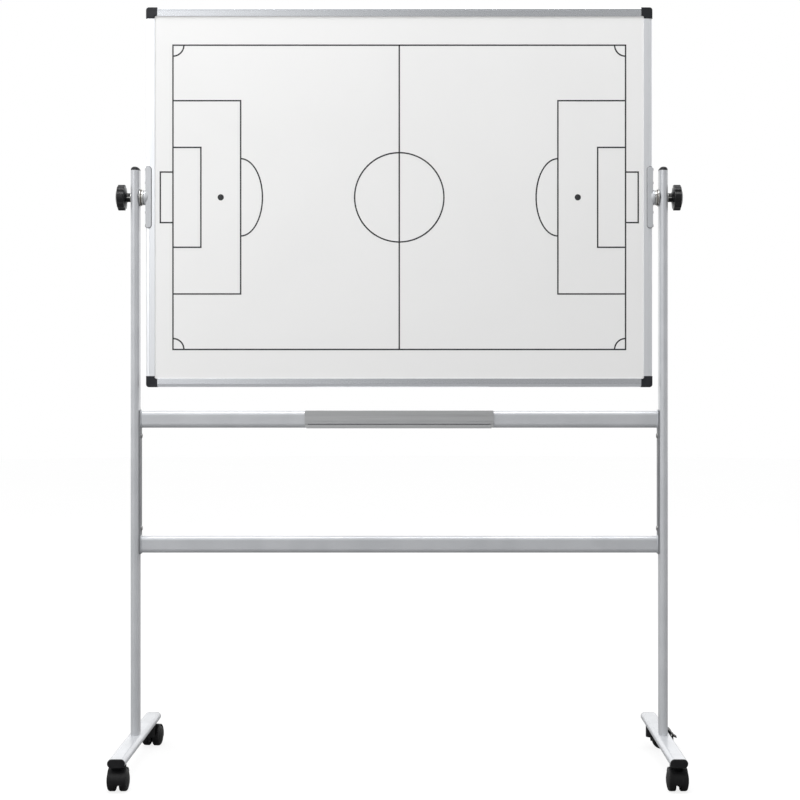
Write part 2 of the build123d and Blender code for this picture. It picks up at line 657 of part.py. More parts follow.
def brake_notch():
    """What is cut out of a braked caster's cover to make room for its pedal."""
    half = PEDAL_HALF_WIDTH + PEDAL_GAP
    notch = block((40, 80), (-half, half), (5, PEDAL_PIVOT[1] + 3.2))
    return notch - wheel_zone(WHEEL_RADIUS, -half - 1, half + 1)


def pedal_ears():
    """The two lugs that hold the pedal's pin."""
    x, z = PEDAL_PIVOT
    start = PEDAL_HALF_WIDTH + PEDAL_GAP
    ears = y_rod(EAR_RADIUS, start, start + EAR_WIDTH, x, z)
    return ears + mirror(ears, about=Plane.XZ)


def caster_hood(braked):
    """The body of a caster: stem boss, web and cover, and the pedal's lugs on a braked one."""
    boss = z_rod(CASTER_BOSS_RADIUS, BOSS_LOW, BOSS_TOP)
    boss = fillet(boss.edges().group_by(Axis.Z)[-1], CASTER_BOSS_EDGE)
    body = boss + hood_arc()
    if braked:
        body -= brake_notch()
        body += pedal_ears()
    for side in (-1, 1):
        low, high = sorted((side * WEB_HALF_WIDTH, side * 2 * WHEEL_OUTER))
        body -= wheel_zone(HOOD_RADII[0], low, high)
    web = hood_web()
    if braked:
        web -= brake_notch()
        body -= y_rod(PEDAL_PIN_RADIUS + SEATED_CLEARANCE, -20, 20, *PEDAL_PIVOT)
    body += web
    body -= wheel_zone(AXLE_RADIUS + SEATED_CLEARANCE, -10, 10)
    return body - z_rod(STEM_RADIUS + SEATED_CLEARANCE, STEM_SPAN[0], BOSS_TOP + 1)


def caster_pins(braked):
    """The stem, the axle and, on a braked caster, the pedal's pin."""
    pins = z_rod(STEM_RADIUS, *STEM_SPAN).solids()
    pins += wheel_zone(AXLE_RADIUS, -AXLE_HALF_LENGTH, AXLE_HALF_LENGTH).solids()
    if braked:
        reach = PEDAL_HALF_WIDTH + PEDAL_GAP + EAR_WIDTH - 0.4
        pins += y_rod(PEDAL_PIN_RADIUS, -reach, reach, *PEDAL_PIVOT).solids()
    return Compound(pins)


def caster_wheel(side):
    """A wheel on the left (1) or right (-1) of its caster, with a crowned tread and domed face."""
    shoulder = (22.2, 21.5)
    rise = WHEEL_OUTER - shoulder[1]
    dome_radius = (shoulder[0] ** 2 + rise**2) / (2 * rise)
    half = shoulder[0] / 2
    middle = (half, WHEEL_OUTER - dome_radius + (dome_radius**2 - half**2) ** 0.5)
    edge = Curve() + [
        Polyline(
            (0, WHEEL_OUTER), (0, WHEEL_INNER), (9, WHEEL_INNER), (10, 7.5), (20, 7.5),
            (20.5, WHEEL_INNER), (23.4, WHEEL_INNER), (WHEEL_RADIUS, 7.2), (WHEEL_RADIUS, 16.6),
            (24.4, 19.2), shoulder,
        ),
        ThreePointArc(shoulder, middle, (0, WHEEL_OUTER)),
    ]
    part = revolve(make_face(edge), Axis.Y)
    rims = part.edges().filter_by(GeomType.CIRCLE).filter_by(lambda e: e.radius > 22)
    part = fillet(rims, WHEEL_EDGE_RADIUS)
    part -= y_rod(AXLE_RADIUS + RUNNING_CLEARANCE, 0, AXLE_HALF_LENGTH + 1)
    for radius in WHEEL_RINGS:
        surface = WHEEL_OUTER - dome_radius + (dome_radius**2 - radius**2) ** 0.5
        bottom = surface - WHEEL_RING_DEPTH
        half_width = WHEEL_RING_WIDTH / 2
        groove = y_rod(radius + half_width, bottom, WHEEL_OUTER + 1)
        part -= groove - y_rod(radius - half_width, bottom - 1, WHEEL_OUTER + 2)
    if side < 0:
        part = mirror(part, about=Plane.XZ)
    return Pos(TRAIL, 0, WHEEL_RADIUS) * part


def brake_pedal():
    """The rocker that is pressed down at the back of a caster, with its shoe below the pin."""
    x, z = PEDAL_PIVOT
    tab = Polyline(
        (x - 0.6, z + 2.0), (x + 1.4, z + 1.6), (x + 10.2, z - 3.4), (x + 10.8, z - 5.2),
        (x + 9.8, z - 6.6), (x + 2.6, z - 3.4), (x + 2.6, z - 8.4), (x + 1.1, z - 8.6),
        (x - 0.2, z - 1.5), close=True,
    )
    part = extrude(make_face(Plane.XZ * tab), PEDAL_HALF_WIDTH, both=True)
    part += y_rod(PEDAL_BARREL_RADIUS, -PEDAL_HALF_WIDTH, PEDAL_HALF_WIDTH, x, z)
    return part - y_rod(PEDAL_PIN_RADIUS + RUNNING_CLEARANCE, -20, 20, x, z)


def caster_sockets():
    """The stem sockets pressed up into the feet."""
    radius, rise = SOCKET_FLANGE
    part = z_rod(SOCKET_RADIUS, FOOT_BOTTOM - rise, SOCKET_TOP)
    part += z_rod(radius, FOOT_BOTTOM - rise, FOOT_BOTTOM)
    part -= z_rod(STEM_RADIUS + RUNNING_CLEARANCE, 0, 100)
    places = [(x * POST_CENTRE, y * STEM_OFFSET) for x, y, _, _ in CASTERS.values()]
    return Compound([solid for x, y in places for solid in (Pos(x, y, 0) * part).solids()])


def on_caster(part, name):
    """Puts a piece built in the caster's frame at its place on the stand."""
    x, y, heading, _ = CASTERS[name]
    return Pos(x * POST_CENTRE, y * STEM_OFFSET, 0) * Rot(0, 0, heading) * part


# ---- all the nodes ----
def board_nodes():
    """Every piece that turns with the board."""
    sheet = PANEL_THICKNESS / 2
    core = sheet - SHEET_THICKNESS
    length = BOARD_WIDTH - 2 * CORNER_REACH
    washer = rounded_ring_x(BOSS_RADIUS, WASHER_HOLE_RADIUS, BOSS_END, WASHER_END)
    stud = x_rod(STUD_RADIUS, BOARD_EDGE + BRACKET_WEB, STUD_END, z=PIVOT_HEIGHT)
    return {
        "front_sheet": panel_layer(-sheet, -core),
        "back_sheet": panel_layer(core, sheet),
        "board_core": panel_layer(-core, core),
        "pitch_markings": pitch_markings(),
        "top_rail": rail(length, 0, BOARD_HEIGHT / 2),
        "bottom_rail": rail(length, 180, BOARD_HEIGHT / 2),
        "left_stile": stile("left"),
        "right_stile": stile("right"),
        "corner_caps": corner_caps(),
        "left_bracket": one_side(bracket(), "left"),
        "right_bracket": bracket(),
        "bracket_screws": both_sides(bracket_screws()),
        "pivot_bosses": both_sides(pivot_boss()),
        "pivot_studs": both_sides(stud),
        "pivot_washers": both_sides(washer),
    }


def stand_nodes():
    """Every piece of the stand that keeps still."""
    nodes = {}
    for side in ("left", "right"):
        nodes[f"{side}_post"] = one_side(post(), side)
        nodes[f"{side}_foot"] = one_side(foot(), side)
        nodes[f"{side}_side_plate"] = one_side(side_plate(), side)
    sleeve = ring_x(SLEEVE_RADIUS, STUD_RADIUS + RUNNING_CLEARANCE, SEAT_START, POST_OUTER)
    friction = ring_x(FRICTION_RADIUS, WASHER_HOLE_RADIUS, WASHER_END, SEAT_START)
    seat = rounded_ring_x(SEAT_RADIUS, SLEEVE_RADIUS + SHANK_CLEARANCE, SEAT_START, SADDLE_START)
    ends = Compound([solid for end in (-1, 1) for solid in foot_cap(end).solids()])
    nodes["upper_crossbar"] = upper_crossbar()
    nodes["lower_crossbar"] = crossbar(LOWER_BAR_HEIGHT)
    nodes["side_plate_screws"] = both_sides(plate_screws())
    nodes["rivet_nuts"] = both_sides(rivet_nuts())
    nodes["post_caps"] = both_sides(post_cap())
    nodes["post_base_inserts"] = both_sides(base_insert())
    nodes["foot_bolts"] = both_sides(foot_bolts())
    nodes["foot_end_caps"] = both_sides(ends)
    nodes["pen_tray"] = pen_tray()
    nodes["pen_tray_screws"] = tray_screws()
    nodes["pivot_saddles"] = both_sides(saddle())
    nodes["pivot_sleeves"] = both_sides(sleeve)
    nodes["friction_washers"] = both_sides(friction)
    nodes["seat_washers"] = both_sides(seat)
    nodes["caster_sockets"] = caster_sockets()
    return nodes


def knob_nodes():
    """The clamp knobs, with their threaded inserts and thrust washers."""
    washer = ring_x(KNOB_NECK_RADIUS, WASHER_HOLE_RADIUS, POST_OUTER, POST_OUTER + KNOB_WASHER)
    nodes = {}
    for side in ("left", "right"):
        nodes[f"{side}_knob"] = one_side(knob(), side)
        nodes[f"{side}_knob_insert"] = one_side(knob_insert(), side)
        nodes[f"{side}_thrust_washer"] = one_side(washer, side)
    return nodes


def caster_nodes():
    """Hood, pins, two wheels and, at the rear, a brake pedal for each caster."""
    nodes = {}
    for name, (_, _, _, braked) in CASTERS.items():
        nodes[f"{name}_caster_hood"] = on_caster(caster_hood(braked), name)
        nodes[f"{name}_caster_pins"] = on_caster(caster_pins(braked), name)
        nodes[f"{name}_left_wheel"] = on_caster(caster_wheel(1), name)
        nodes[f"{name}_right_wheel"] = on_caster(caster_wheel(-1), name)
        if braked:
            nodes[f"{name}_brake_pedal"] = on_caster(brake_pedal(), name)
    return nodes


os.makedirs("parts", exist_ok=True)
for node, shape in {**board_nodes(), **stand_nodes(), **knob_nodes(), **caster_nodes()}.items():
    export_step(shape, f"parts/{node}.step")
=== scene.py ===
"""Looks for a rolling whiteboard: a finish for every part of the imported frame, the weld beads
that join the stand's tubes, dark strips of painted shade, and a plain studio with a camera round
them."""

import logging
from dataclasses import dataclass, field
from enum import Enum
from math import pi, radians

import bpy
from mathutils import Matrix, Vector


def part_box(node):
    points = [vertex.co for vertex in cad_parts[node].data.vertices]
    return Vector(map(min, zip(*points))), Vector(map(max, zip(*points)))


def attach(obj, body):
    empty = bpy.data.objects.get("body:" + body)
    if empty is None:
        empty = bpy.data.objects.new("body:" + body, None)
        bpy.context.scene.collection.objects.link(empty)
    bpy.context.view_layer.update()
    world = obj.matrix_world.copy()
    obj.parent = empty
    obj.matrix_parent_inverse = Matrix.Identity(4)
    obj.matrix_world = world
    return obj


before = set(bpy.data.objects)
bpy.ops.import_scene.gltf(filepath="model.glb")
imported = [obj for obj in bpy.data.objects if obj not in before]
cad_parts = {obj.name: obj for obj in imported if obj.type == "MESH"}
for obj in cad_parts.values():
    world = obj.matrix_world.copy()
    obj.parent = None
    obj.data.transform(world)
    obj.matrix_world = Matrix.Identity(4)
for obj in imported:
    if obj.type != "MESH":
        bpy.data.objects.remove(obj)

Colour = tuple[float, float, float]
Triple = tuple[float, float, float]
Number = float | bpy.types.NodeSocket

log = logging.getLogger("rolling_whiteboard")
BUMP_STRENGTH = 0.6
FLAKE_COLOUR = (0.95, 0.96, 0.98, 1.0)
FLAKE_SHARE = 0.25
PEBBLE_SMOOTHNESS = 0.6
BAND_SCALE = 0.12


class Effect(Enum):
    """The surface effects that several finishes share, each one a node group."""

    PAINT = "powder_coat"
    MOULDED = "moulded_skin"
    DRAWN = "drawn_metal"
    WIPED = "wiped_enamel"


class Draw(Enum):
    """Which way a piece was drawn or brushed, as the stretch of its pattern along X, Y and Z."""

    EVEN = (1.0, 1.0, 1.0)
    ALONG_X = (0.01, 1.0, 1.0)
    ALONG_Y = (1.0, 0.01, 1.0)
    ALONG_Z = (1.0, 1.0, 0.01)


@dataclass
class NodeSheet:
    """A node tree, with short ways to add nodes and join them."""

    tree: bpy.types.NodeTree

    def add(self, kind: str, values: dict | None = None, **settings: object) -> bpy.types.Node:
        """Adds a node.

        Args:
            kind: The node's type.
            values: Values for its inputs, by name or place.
            settings: Properties of the node itself.

        Returns:
            The new node.
        """
        node = self.tree.nodes.new(kind)
        for name, value in settings.items():
            setattr(node, name, value)
        for name, value in (values or {}).items():
            if isinstance(value, bpy.types.NodeSocket):
                self.join(value, node.inputs[name])
            else:
                node.inputs[name].default_value = value
        return node

    def join(self, source: bpy.types.NodeSocket, target: bpy.types.NodeSocket) -> None:
        """Links an output to an input."""
        self.tree.links.new(source, target)

    def math(self, operation: str, *terms: Number) -> bpy.types.NodeSocket:
        """Adds a Math node.

        Args:
            operation: What it does with its terms.
            terms: Numbers or sockets, in order.

        Returns:
            The node's output.
        """
        return self.add("ShaderNodeMath", dict(enumerate(terms)), operation=operation).outputs[0]

    def spread(self, value: Number, low: float, high: float) -> bpy.types.NodeSocket:
        """Stretches the part of a value between low and high over 0 to 1.

        Args:
            value: The value to stretch.
            low: What becomes 0.
            high: What becomes 1.

        Returns:
            The stretched value, kept between 0 and 1.
        """
        ends = {"Value": value, "From Min": low, "From Max": high}
        return self.add("ShaderNodeMapRange", ends).outputs["Result"]

    def blend(self, share: Number, first: object, second: object) -> bpy.types.NodeSocket:
        """Mixes two colours.

        Args:
            share: How much of the second shows.
            first: A colour or its socket.
            second: A colour or its socket.

        Returns:
            The mixed colour.
        """
        values = {0: share, 6: first, 7: second}
        return self.add("ShaderNodeMix", values, data_type="RGBA").outputs[2]

    def noise(
        self, place: Number, scale: Number, detail: float = 2.0, twist: float = 0.0
    ) -> bpy.types.NodeSocket:
        """Adds a noise pattern.

        Args:
            place: The vector it is read at.
            scale: How many features it has per metre.
            detail: How many finer layers it has.
            twist: How much it is distorted.

        Returns:
            The pattern's value.
        """
        values = {"Vector": place, "Scale": scale, "Detail": detail, "Distortion": twist}
        return self.add("ShaderNodeTexNoise", values).outputs[0]


class Effects:
    """Builds each shared effect once and hands out its node group."""

    INPUTS = {
        "Vector": "NodeSocketVector",
        "Colour": "NodeSocketColor",
        "Second Colour": "NodeSocketColor",
        "Fine Scale": "NodeSocketFloat",
        "Broad Scale": "NodeSocketFloat",
        "Roughness": "NodeSocketFloat",
        "Roughness Spread": "NodeSocketFloat",
    }
    OUTPUTS = {
        "Colour": "NodeSocketColor",
        "Roughness": "NodeSocketFloat",
        "Height": "NodeSocketFloat",
    }

    def __init__(self) -> None:
        """Starts with no group built."""
        self.groups: dict[Effect, bpy.types.NodeTree] = {}

    def group(self, effect: Effect) -> bpy.types.NodeTree:
        """Finds or builds an effect's group.

        Args:
            effect: The effect wanted.

        Returns:
            Its node group.
        """
        if effect not in self.groups:
            tree = bpy.data.node_groups.new(effect.value, "ShaderNodeTree")
            for name, kind in self.INPUTS.items():
                tree.interface.new_socket(name=name, in_out="INPUT", socket_type=kind)
            for name, kind in self.OUTPUTS.items():
                tree.interface.new_socket(name=name, in_out="OUTPUT", socket_type=kind)
            sheet = NodeSheet(tree)
            given = sheet.add("NodeGroupInput").outputs
            made = {
                Effect.PAINT: self.paint,
                Effect.MOULDED: self.moulded,
                Effect.DRAWN: self.drawn,
                Effect.WIPED: self.wiped,
            }[effect](sheet, given)
            result = sheet.add("NodeGroupOutput")
            for name, socket in made.items():
                sheet.join(socket, result.inputs[name])
            self.groups[effect] = tree
        return self.groups[effect]

    @staticmethod
    def rough(sheet: NodeSheet, given: object, pattern: Number) -> bpy.types.NodeSocket:
        """Moves the roughness up and down with a pattern.

        Args:
            sheet: The group being built.
            given: The group's inputs.
            pattern: A value from 0 to 1.

        Returns:
            The varied roughness.
        """
        centred = sheet.math("SUBTRACT", pattern, 0.5)
        return sheet.math("MULTIPLY_ADD", centred, given["Roughness Spread"], given["Roughness"])

    def paint(self, sheet: NodeSheet, given: object) -> dict[str, bpy.types.NodeSocket]:
        """Powder coat: a soft mottle, bright flakes and the fine ripple of orange peel.

        Args:
            sheet: The group being built.
            given: The group's inputs.

        Returns:
            The group's outputs by name.
        """
        mottle = sheet.noise(given["Vector"], given["Broad Scale"], 4.0)
        peel = sheet.noise(given["Vector"], given["Fine Scale"], 1.0)
        flake_scale = sheet.math("MULTIPLY", given["Fine Scale"], 4.0)
        flake = sheet.noise(given["Vector"], flake_scale, 0.0)
        share = sheet.spread(mottle, 0.36, 0.64)
        ground = sheet.blend(share, given["Colour"], given["Second Colour"])
        spark = sheet.math("MULTIPLY", sheet.spread(flake, 0.66, 0.8), FLAKE_SHARE)
        colour = sheet.blend(spark, ground, FLAKE_COLOUR)
        return {"Colour": colour, "Roughness": self.rough(sheet, given, mottle), "Height": peel}

    def moulded(self, sheet: NodeSheet, given: object) -> dict[str, bpy.types.NodeSocket]:
        """Moulded plastic: an etched pebble skin with cloudy flow marks and light rubs.

        Args:
            sheet: The group being built.
            given: The group's inputs.

        Returns:
            The group's outputs by name.
        """
        cells = {
            "Vector": given["Vector"],
            "Scale": given["Fine Scale"],
            "Smoothness": PEBBLE_SMOOTHNESS,
        }
        pebble = sheet.add("ShaderNodeTexVoronoi", cells, feature="SMOOTH_F1").outputs["Distance"]
        cloud = sheet.noise(given["Vector"], given["Broad Scale"], 5.0, 0.4)
        rub = sheet.spread(cloud, 0.45, 0.72)
        colour = sheet.blend(rub, given["Colour"], given["Second Colour"])
        return {"Colour": colour, "Roughness": self.rough(sheet, given, cloud), "Height": pebble}

    def drawn(self, sheet: NodeSheet, given: object) -> dict[str, bpy.types.NodeSocket]:
        """Drawn or brushed metal: fine lines in colour, sheen and height, with broad cloudiness.

        Args:
            sheet: The group being built.
            given: The group's inputs.

        Returns:
            The group's outputs by name.
        """
        lines = sheet.noise(given["Vector"], given["Fine Scale"], 3.0)
        band_scale = sheet.math("MULTIPLY", given["Fine Scale"], BAND_SCALE)
        bands = sheet.noise(given["Vector"], band_scale, 2.0)
        cloud = sheet.noise(given["Vector"], given["Broad Scale"], 2.0)
        mixed = sheet.math("MULTIPLY_ADD", lines, 0.5, sheet.math("MULTIPLY", bands, 0.5))
        share = sheet.spread(sheet.math("MULTIPLY_ADD", cloud, 0.3, mixed), 0.45, 0.85)
        colour = sheet.blend(share, given["Colour"], given["Second Colour"])
        return {"Colour": colour, "Roughness": self.rough(sheet, given, mixed), "Height": mixed}

    def wiped(self, sheet: NodeSheet, given: object) -> dict[str, bpy.types.NodeSocket]:
        """Lacquered writing sheet: long faint haze left by the eraser over a nearly flat gloss.

        Args:
            sheet: The group being built.
            given: The group's inputs.

        Returns:
            The group's outputs by name.
        """
        haze = sheet.noise(given["Vector"], given["Broad Scale"], 6.0, 1.2)
        fine = sheet.noise(given["Vector"], given["Fine Scale"], 1.0)
        share = sheet.spread(haze, 0.42, 0.7)
        colour = sheet.blend(share, given["Colour"], given["Second Colour"])
        return {"Colour": colour, "Roughness": self.rough(sheet, given, haze), "Height": fine}


@dataclass(frozen=True)
class Finish:
    """One surface finish: a shared effect with its own colours, scales and gloss."""

    name: str
    effect: Effect
    colour: Colour
    second: Colour
    roughness: float
    spread: float = 0.1
    fine: float = 900.0
    broad: float = 9.0
    relief: float = 0.00003
    draw: Draw = Draw.EVEN
    metallic: float = 0.0
    coat: float = 0.0
    coat_roughness: float = 0.12
    ior: float = 1.48

    def material(self, effects: Effects) -> bpy.types.Material:
        """Builds the finish as a material.

        Args:
            effects: Where the shared groups come from.

        Returns:
            The material.
        """
        made = bpy.data.materials.new(self.name)
        made.use_nodes = True
        sheet = NodeSheet(made.node_tree)
        sheet.tree.nodes.clear()
        place = sheet.add("ShaderNodeTexCoord").outputs["Object"]
        mapped = sheet.add("ShaderNodeMapping", {"Vector": place, "Scale": self.draw.value})
        group = sheet.add("ShaderNodeGroup", node_tree=effects.group(self.effect))
        sheet.join(mapped.outputs["Vector"], group.inputs["Vector"])
        group.inputs["Colour"].default_value = (*self.colour, 1.0)
        group.inputs["Second Colour"].default_value = (*self.second, 1.0)
        group.inputs["Fine Scale"].default_value = self.fine
        group.inputs["Broad Scale"].default_value = self.broad
        group.inputs["Roughness"].default_value = self.roughness
        group.inputs["Roughness Spread"].default_value = self.spread
        height = group.outputs["Height"]
        relief = {"Height": height, "Strength": BUMP_STRENGTH, "Distance": self.relief}
        bump = sheet.add("ShaderNodeBump", relief)
        surface = sheet.add(
            "ShaderNodeBsdfPrincipled",
            {
                "Base Color": group.outputs["Colour"],
                "Roughness": group.outputs["Roughness"],
                "Normal": bump.outputs["Normal"],
                "Metallic": self.metallic,
                "IOR": self.ior,
                "Coat Weight": self.coat,
                "Coat Roughness": self.coat_roughness,
            },
        )
        result = sheet.add("ShaderNodeOutputMaterial")
        sheet.join(surface.outputs["BSDF"], result.inputs["Surface"])
        return made


SILVER_PAINT = Finish(
    "silver_powder_coat", Effect.PAINT, (0.48, 0.492, 0.512), (0.44, 0.452, 0.472),
    roughness=0.42, fine=750.0, broad=14.0, relief=0.00003, metallic=0.25, coat=0.35,
)
TRAY_METAL = Finish(
    "tray_satin_extrusion", Effect.DRAWN, (0.48, 0.485, 0.49), (0.385, 0.39, 0.395),
    roughness=0.42, fine=1100.0, broad=5.0, relief=0.00004, draw=Draw.ALONG_X, metallic=0.6,
)
RAIL_METAL = Finish(
    "rail_anodised", Effect.DRAWN, (0.81, 0.835, 0.87), (0.73, 0.75, 0.785),
    roughness=0.21, spread=0.1, fine=1300.0, broad=4.0, relief=0.00002, draw=Draw.ALONG_X,
    metallic=0.97,
)
STILE_METAL = Finish(
    "stile_anodised", Effect.DRAWN, (0.83, 0.845, 0.87), (0.75, 0.765, 0.79),
    roughness=0.46, spread=0.12, fine=1300.0, broad=4.0, relief=0.00002, draw=Draw.ALONG_Z,
    metallic=0.95,
)
WRITING_SHEET = Finish(
    "writing_sheet_lacquer", Effect.WIPED, (0.755, 0.755, 0.753), (0.74, 0.74, 0.738),
    roughness=0.3, spread=0.06, fine=260.0, broad=2.2, relief=0.00002, coat=0.3,
)
LINE_INK = Finish(
    "pitch_line_ink", Effect.WIPED, (0.014, 0.014, 0.016), (0.024, 0.024, 0.027),
    roughness=0.4, spread=0.1, fine=900.0, broad=25.0, relief=0.00001,
)
CORE_BOARD = Finish(
    "core_honeycomb_board", Effect.MOULDED, (0.52, 0.42, 0.29), (0.45, 0.36, 0.24),
    roughness=0.85, fine=300.0, broad=20.0, relief=0.0002,
)
CORNER_PLASTIC = Finish(
    "corner_cap_charcoal", Effect.MOULDED, (0.010, 0.011, 0.014), (0.018, 0.019, 0.023),
    roughness=0.42, fine=1500.0, broad=60.0, relief=0.00001, ior=1.36,
)
BLACK_PLASTIC = Finish(
    "black_end_plastic", Effect.MOULDED, (0.004, 0.004, 0.005), (0.009, 0.009, 0.010),
    roughness=0.45, fine=1400.0, broad=50.0, relief=0.00001, ior=1.32,
)
SEAT_PLASTIC = Finish(
    "pivot_seat_nylon", Effect.MOULDED, (0.05, 0.052, 0.058), (0.075, 0.077, 0.084),
    roughness=0.5, fine=1400.0, broad=60.0, relief=0.00002, ior=1.42,
)
KNOB_PLASTIC = Finish(
    "knob_black_satin", Effect.MOULDED, (0.004, 0.004, 0.005), (0.009, 0.009, 0.010),
    roughness=0.36, fine=1200.0, broad=70.0, relief=0.00001, ior=1.36,
)
HOOD_PLASTIC = Finish(
    "caster_hood_nylon", Effect.MOULDED, (0.003, 0.003, 0.0035), (0.007, 0.007, 0.0075),
    roughness=0.42, fine=1300.0, broad=70.0, relief=0.00001, ior=1.29,
)
WHEEL_PLASTIC = Finish(
    "caster_wheel_nylon", Effect.MOULDED, (0.003, 0.003, 0.0035), (0.011, 0.011, 0.011),
    roughness=0.5, spread=0.2, fine=1000.0, broad=90.0, relief=0.00003, ior=1.29,
)
# Painted shade: a darker copy of the stand's silver paint for the side plates, standing in for the
# shade that falls in the groove between post and bar.
SHADED_PLATE_PAINT = Finish(
    "side_plate_grey", Effect.PAINT, (0.19, 0.195, 0.205), (0.155, 0.16, 0.17),
    roughness=0.5, fine=750.0, broad=18.0, relief=0.00003, metallic=0.2,
)
SCREW_ZINC = Finish(
    "dull_zinc_screw", Effect.DRAWN, (0.34, 0.34, 0.34), (0.24, 0.24, 0.24),
    roughness=0.42, spread=0.16, fine=2200.0, broad=120.0, relief=0.00001, metallic=0.9,
)
BRIGHT_STEEL = Finish(
    "zinc_plated_steel", Effect.DRAWN, (0.66, 0.66, 0.65), (0.54, 0.54, 0.53),
    roughness=0.3, spread=0.16, fine=2200.0, broad=120.0, relief=0.00001, metallic=1.0,
)
WASHER_STEEL = Finish(
    "bright_washer_steel", Effect.DRAWN, (0.58, 0.58, 0.57), (0.49, 0.49, 0.48),
    roughness=0.26, spread=0.1, fine=2400.0, broad=90.0, relief=0.00001, draw=Draw.ALONG_Y,
    metallic=0.9,
)
FIBRE = Finish(
    "friction_fibre", Effect.MOULDED, (0.13, 0.115, 0.10), (0.18, 0.16, 0.14),
    roughness=0.8, fine=2600.0, broad=150.0, relief=0.00006,
)
# Painted shade: a near-black finish for the strip and beads that stand in for the shade in the
# tray's groove and round the side brackets.
PAINTED_SHADE_RUBBER = Finish(
    "dark_seal_rubber", Effect.MOULDED, (0.085, 0.087, 0.092), (0.115, 0.117, 0.122),
    roughness=0.7, fine=2000.0, broad=120.0, relief=0.00002, ior=1.4,
)
WELD_PAINT = Finish(
    "painted_weld", Effect.PAINT, (0.43, 0.445, 0.47), (0.37, 0.385, 0.41),
    roughness=0.38, fine=420.0, broad=160.0, relief=0.00015, metallic=0.25, coat=0.35,
)


class Wardrobe:
    """Keeps one material for each finish and puts it on parts."""

    def __init__(self) -> None:
        """Starts with no material made."""
        self.effects = Effects()
        self.made: dict[str, bpy.types.Material] = {}

    def wear(self, obj: bpy.types.Object, finish: Finish) -> None:
        """Puts a finish on an object, in place of what it had.

        Args:
            obj: The object to dress.
            finish: The finish to give it.
        """
        if finish.name not in self.made:
            self.made[finish.name] = finish.material(self.effects)
        obj.data.materials.clear()
        obj.data.materials.append(self.made[finish.name])

    def dress(self, finish: Finish, *nodes: str) -> None:
        """Puts a finish on parts of the frame.

        Args:
            finish: The finish to give.
            nodes: The parts' names.
        """
        for name in nodes:
            self.wear(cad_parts[name], finish)
        log.info("%s: %s", finish.name, ", ".join(nodes))


@dataclass
class Board:
    """The revolving board: panel, printed lines, edge rails and what carries them."""

    wardrobe: Wardrobe

    def dress(self) -> None:
        """Dresses every part that turns with the board."""
        wear = self.wardrobe.dress
        wear(WRITING_SHEET, "front_sheet", "back_sheet")
        wear(LINE_INK, "pitch_markings")
        wear(CORE_BOARD, "board_core")
        wear(RAIL_METAL, "top_rail", "bottom_rail")
        wear(STILE_METAL, "left_stile", "right_stile")
        wear(CORNER_PLASTIC, "corner_caps")
        wear(SILVER_PAINT, "left_bracket", "right_bracket", "pivot_bosses")
        wear(SCREW_ZINC, "bracket_screws")
        wear(BRIGHT_STEEL, "pivot_studs")
        wear(WASHER_STEEL, "pivot_washers")


@dataclass
class Stand:
    """The posts, feet and bars, with the tray and the seats of the pivots."""

    wardrobe: Wardrobe

    def dress(self) -> None:
        """Dresses every part that keeps still."""
        wear = self.wardrobe.dress
        for side in ("left", "right"):
            wear(SILVER_PAINT, f"{side}_post", f"{side}_foot")
            # The side plates take the darker copy of the silver paint: painted shade between post
            # and bar.
            wear(SHADED_PLATE_PAINT, f"{side}_side_plate")
        wear(SILVER_PAINT, "upper_crossbar", "lower_crossbar")
        wear(TRAY_METAL, "pen_tray")
        wear(BLACK_PLASTIC, "post_caps", "foot_end_caps")
        wear(SEAT_PLASTIC, "pivot_saddles", "pivot_sleeves")
        wear(FIBRE, "friction_washers")
        wear(WASHER_STEEL, "seat_washers")
        wear(SCREW_ZINC, "side_plate_screws")
        wear(BRIGHT_STEEL, "rivet_nuts", "post_base_inserts", "foot_bolts")
        wear(BRIGHT_STEEL, "pen_tray_screws", "caster_sockets")


@dataclass
class OvalBead:
    """A bead with a given section that runs round a flat-oval outline."""

    section: tuple[tuple[float, float], ...]
    vertices: int = 46
    smooth_angle: float = 45.0

    def ring(self, radius: float, half_height: float) -> bpy.types.Object:
        """Models the bead about the X axis and leaves it in edit mode.

        Args:
            radius: Half of the outline's width.
            half_height: Half of the outline's height.

        Returns:
            The bead.
        """
        start_x, start_out = self.section[0]
        bpy.ops.object.select_all(action="DESELECT")
        bpy.ops.mesh.primitive_circle_add(
            vertices=self.vertices, radius=radius + start_out,
            location=(start_x, 0, 0), rotation=(pi / 2, 0, pi / 2),
        )
        bead = bpy.context.active_object
        bpy.ops.object.transform_apply(location=True, rotation=True, scale=True)
        bpy.ops.object.mode_set(mode="EDIT")
        bpy.ops.mesh.select_all(action="SELECT")
        here, reach = start_x, start_out
        for x, out in self.section[1:]:
            bpy.ops.mesh.extrude_region_move(TRANSFORM_OT_translate={"value": (x - here, 0, 0)})
            factor = (radius + out) / (radius + reach)
            bpy.ops.transform.resize(value=(1, factor, factor))
            here, reach = x, out
        bpy.ops.mesh.select_all(action="DESELECT")
        bpy.ops.mesh.select_mode(type="EDGE")
        bpy.ops.mesh.select_non_manifold()
        bpy.ops.mesh.bridge_edge_loops()
        for half in (1.0, -1.0):
            self.select_half(bead, half)
            bpy.ops.transform.translate(value=(0, 0, half * (half_height - radius)))
        bpy.ops.mesh.select_all(action="SELECT")
        return bead

    @staticmethod
    def select_half(bead: bpy.types.Object, half: float) -> None:
        """Selects the vertices above (1) or below (-1) the middle of a bead in edit mode."""
        bpy.ops.mesh.select_mode(type="VERT")
        bpy.ops.mesh.select_all(action="DESELECT")
        bpy.ops.object.mode_set(mode="OBJECT")
        for vertex in bead.data.vertices:
            vertex.select = vertex.co.z * half > 0
        bpy.ops.object.mode_set(mode="EDIT")

    def finish(self) -> None:
        """Turns the normals of the bead in edit mode outwards and smooths its faces."""
        bpy.ops.mesh.select_all(action="SELECT")
        bpy.ops.mesh.normals_make_consistent(inside=False)
        bpy.ops.object.mode_set(mode="OBJECT")
        bpy.ops.object.shade_smooth_by_angle(angle=radians(self.smooth_angle))


